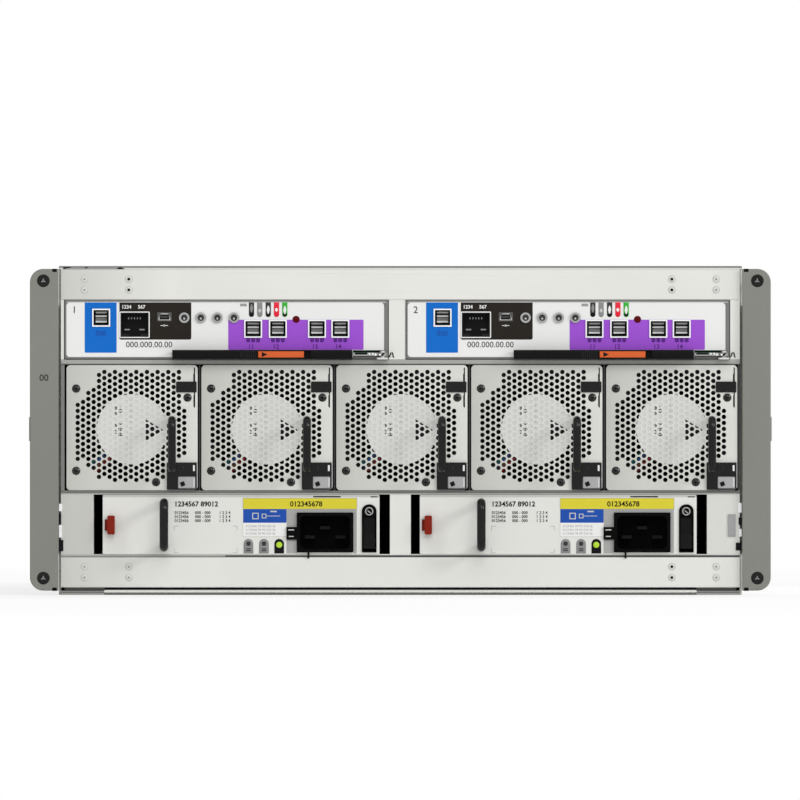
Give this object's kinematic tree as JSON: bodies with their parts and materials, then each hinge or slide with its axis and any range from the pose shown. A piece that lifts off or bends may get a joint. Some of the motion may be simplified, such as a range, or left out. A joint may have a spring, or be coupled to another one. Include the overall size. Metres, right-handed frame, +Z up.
{
  "type": "storage array",
  "caption": "Rack storage enclosure with plug-in input/output, fan and power modules and pull-out disk drawers.",
  "frame": {"origin": "bottom centre of the bounding box", "axes": "+X to the right of the pictured face, +Y from that face to the drawer end, +Z up"},
  "size_m": [0.4838, 0.933, 0.2143],
  "materials": {
    "case_steel": "satin light grey paint",
    "face_steel": "satin warm white paint",
    "ear_paint": "satin mid grey paint",
    "zinc": "bright zinc plate",
    "screw_black": "black oxide",
    "black_plastic": "fine grain",
    "gloss_black": "gloss",
    "rotor_plastic": "moulded",
    "red_plastic": "semi gloss",
    "orange_plastic": "semi gloss",
    "grey_plastic": "fine grain",
    "board": "solder mask",
    "drive_metal": "cast and machined"
  },
  "bodies": {
    "chassis": {"chassis_pan": "case_steel", "top_cover": "case_steel", "beam_upper": "case_steel", "beam_lower": "case_steel", "bay_frame": "zinc", "fan_board": "board", "midplane": "board", "drawer_rails": "zinc", "ear_left": "ear_paint", "ear_right": "ear_paint", "rack_screws": "screw_black"},
    "fan_1": {"fan_1_shell": "zinc", "fan_1_grille": "face_steel", "fan_1_handle": "gloss_black"},
    "fan_1_rotor": {"fan_1_rotor": "rotor_plastic"},
    "fan_1_button": {"fan_1_latch": "grey_plastic"},
    "fan_2": {"fan_2_shell": "zinc", "fan_2_grille": "face_steel", "fan_2_handle": "gloss_black"},
    "fan_2_rotor": {"fan_2_rotor": "rotor_plastic"},
    "fan_2_button": {"fan_2_latch": "grey_plastic"},
    "fan_3": {"fan_3_shell": "zinc", "fan_3_grille": "face_steel", "fan_3_handle": "gloss_black"},
    "fan_3_rotor": {"fan_3_rotor": "rotor_plastic"},
    "fan_3_button": {"fan_3_latch": "grey_plastic"},
    "fan_4": {"fan_4_shell": "zinc", "fan_4_grille": "face_steel", "fan_4_handle": "gloss_black"},
    "fan_4_rotor": {"fan_4_rotor": "rotor_plastic"},
    "fan_4_button": {"fan_4_latch": "grey_plastic"},
    "fan_5": {"fan_5_shell": "zinc", "fan_5_grille": "face_steel", "fan_5_handle": "gloss_black"},
    "fan_5_rotor": {"fan_5_rotor": "rotor_plastic"},
    "fan_5_button": {"fan_5_latch": "grey_plastic"},
    "io_a": {"io_a_case": "face_steel", "io_a_board": "board"},
    "io_a_lever": {"io_a_lever": "black_plastic"},
    "io_a_catch": {"io_a_catch": "orange_plastic"},
    "io_b": {"io_b_case": "face_steel", "io_b_board": "board"},
    "io_b_lever": {"io_b_lever": "black_plastic"},
    "io_b_catch": {"io_b_catch": "orange_plastic"},
    "psu_a": {"psu_a_case": "face_steel", "psu_a_inlet": "black_plastic", "psu_a_handle": "gloss_black"},
    "psu_a_release": {"psu_a_latch": "red_plastic"},
    "psu_a_rocker": {"psu_a_switch": "black_plastic"},
    "psu_b": {"psu_b_case": "face_steel", "psu_b_inlet": "black_plastic", "psu_b_handle": "gloss_black"},
    "psu_b_release": {"psu_b_latch": "red_plastic"},
    "psu_b_rocker": {"psu_b_switch": "black_plastic"},
    "drawer_lower": {"drawer_lower_tray": "zinc", "drawer_lower_fascia": "ear_paint", "drawer_lower_drives": "drive_metal"},
    "drawer_upper": {"drawer_upper_tray": "zinc", "drawer_upper_fascia": "ear_paint", "drawer_upper_drives": "drive_metal"}
  },
  "joints": [
    {"name": "fan_1_slide", "type": "slide", "parent": "chassis", "child": "fan_1", "axis": [0, -1, 0], "range_m": [0, 0.13]},
    {"name": "fan_1_spin", "type": "hinge", "parent": "fan_1", "child": "fan_1_rotor", "pos_m": [-0.1748, -0.4205, 0.1079], "axis": [0, 1, 0], "continuous": true},
    {"name": "fan_1_press", "type": "slide", "parent": "fan_1", "child": "fan_1_button", "axis": [0, 1, 0], "range_m": [0, 0.002], "stiffness_N_per_m": 400},
    {"name": "fan_2_slide", "type": "slide", "parent": "chassis", "child": "fan_2", "axis": [0, -1, 0], "range_m": [0, 0.13]},
    {"name": "fan_2_spin", "type": "hinge", "parent": "fan_2", "child": "fan_2_rotor", "pos_m": [-0.0869, -0.4205, 0.1079], "axis": [0, 1, 0], "continuous": true},
    {"name": "fan_2_press", "type": "slide", "parent": "fan_2", "child": "fan_2_button", "axis": [0, 1, 0], "range_m": [0, 0.002], "stiffness_N_per_m": 400},
    {"name": "fan_3_slide", "type": "slide", "parent": "chassis", "child": "fan_3", "axis": [0, -1, 0], "range_m": [0, 0.13]},
    {"name": "fan_3_spin", "type": "hinge", "parent": "fan_3", "child": "fan_3_rotor", "pos_m": [0.001, -0.4205, 0.1079], "axis": [0, 1, 0], "continuous": true},
    {"name": "fan_3_press", "type": "slide", "parent": "fan_3", "child": "fan_3_button", "axis": [0, 1, 0], "range_m": [0, 0.002], "stiffness_N_per_m": 400},
    {"name": "fan_4_slide", "type": "slide", "parent": "chassis", "child": "fan_4", "axis": [0, -1, 0], "range_m": [0, 0.13]},
    {"name": "fan_4_spin", "type": "hinge", "parent": "fan_4", "child": "fan_4_rotor", "pos_m": [0.0889, -0.4205, 0.1079], "axis": [0, 1, 0], "continuous": true},
    {"name": "fan_4_press", "type": "slide", "parent": "fan_4", "child": "fan_4_button", "axis": [0, 1, 0], "range_m": [0, 0.002], "stiffness_N_per_m": 400},
    {"name": "fan_5_slide", "type": "slide", "parent": "chassis", "child": "fan_5", "axis": [0, -1, 0], "range_m": [0, 0.13]},
    {"name": "fan_5_spin", "type": "hinge", "parent": "fan_5", "child": "fan_5_rotor", "pos_m": [0.1768, -0.4205, 0.1079], "axis": [0, 1, 0], "continuous": true},
    {"name": "fan_5_press", "type": "slide", "parent": "fan_5", "child": "fan_5_button", "axis": [0, 1, 0], "range_m": [0, 0.002], "stiffness_N_per_m": 400},
    {"name": "io_a_slide", "type": "slide", "parent": "chassis", "child": "io_a", "axis": [0, -1, 0], "range_m": [0, 0.34]},
    {"name": "io_a_lever_swing", "type": "hinge", "parent": "io_a", "child": "io_a_lever", "pos_m": [-0.0116, -0.4497, 0.1566], "axis": [0, 0, 1], "range_deg": [0, 75]},
    {"name": "io_a_catch_slide", "type": "slide", "parent": "io_a_lever", "child": "io_a_catch", "axis": [1, 0, 0], "range_m": [0, 0.004], "stiffness_N_per_m": 200},
    {"name": "io_b_slide", "type": "slide", "parent": "chassis", "child": "io_b", "axis": [0, -1, 0], "range_m": [0, 0.34]},
    {"name": "io_b_lever_swing", "type": "hinge", "parent": "io_b", "child": "io_b_lever", "pos_m": [0.2108, -0.4497, 0.1566], "axis": [0, 0, 1], "range_deg": [0, 75]},
    {"name": "io_b_catch_slide", "type": "slide", "parent": "io_b_lever", "child": "io_b_catch", "axis": [1, 0, 0], "range_m": [0, 0.004], "stiffness_N_per_m": 200},
    {"name": "psu_a_slide", "type": "slide", "parent": "chassis", "child": "psu_a", "axis": [0, -1, 0], "range_m": [0, 0.34]},
    {"name": "psu_a_release_slide", "type": "slide", "parent": "psu_a", "child": "psu_a_release", "axis": [1, 0, 0], "range_m": [0, 0.003], "stiffness_N_per_m": 300},
    {"name": "psu_a_rocker_tilt", "type": "hinge", "parent": "psu_a", "child": "psu_a_rocker", "pos_m": [-0.0203, -0.4411, 0.0398], "axis": [1, 0, 0], "range_deg": [0, 14]},
    {"name": "psu_b_slide", "type": "slide", "parent": "chassis", "child": "psu_b", "axis": [0, -1, 0], "range_m": [0, 0.34]},
    {"name": "psu_b_release_slide", "type": "slide", "parent": "psu_b", "child": "psu_b_release", "axis": [1, 0, 0], "range_m": [0, 0.003], "stiffness_N_per_m": 300},
    {"name": "psu_b_rocker_tilt", "type": "hinge", "parent": "psu_b", "child": "psu_b_rocker", "pos_m": [0.1863, -0.4411, 0.0398], "axis": [1, 0, 0], "range_deg": [0, 14]},
    {"name": "drawer_lower_slide", "type": "slide", "parent": "chassis", "child": "drawer_lower", "axis": [0, 1, 0], "range_m": [0, 0.46]},
    {"name": "drawer_upper_slide", "type": "slide", "parent": "chassis", "child": "drawer_upper", "axis": [0, 1, 0], "range_m": [0, 0.46]}
  ]
}
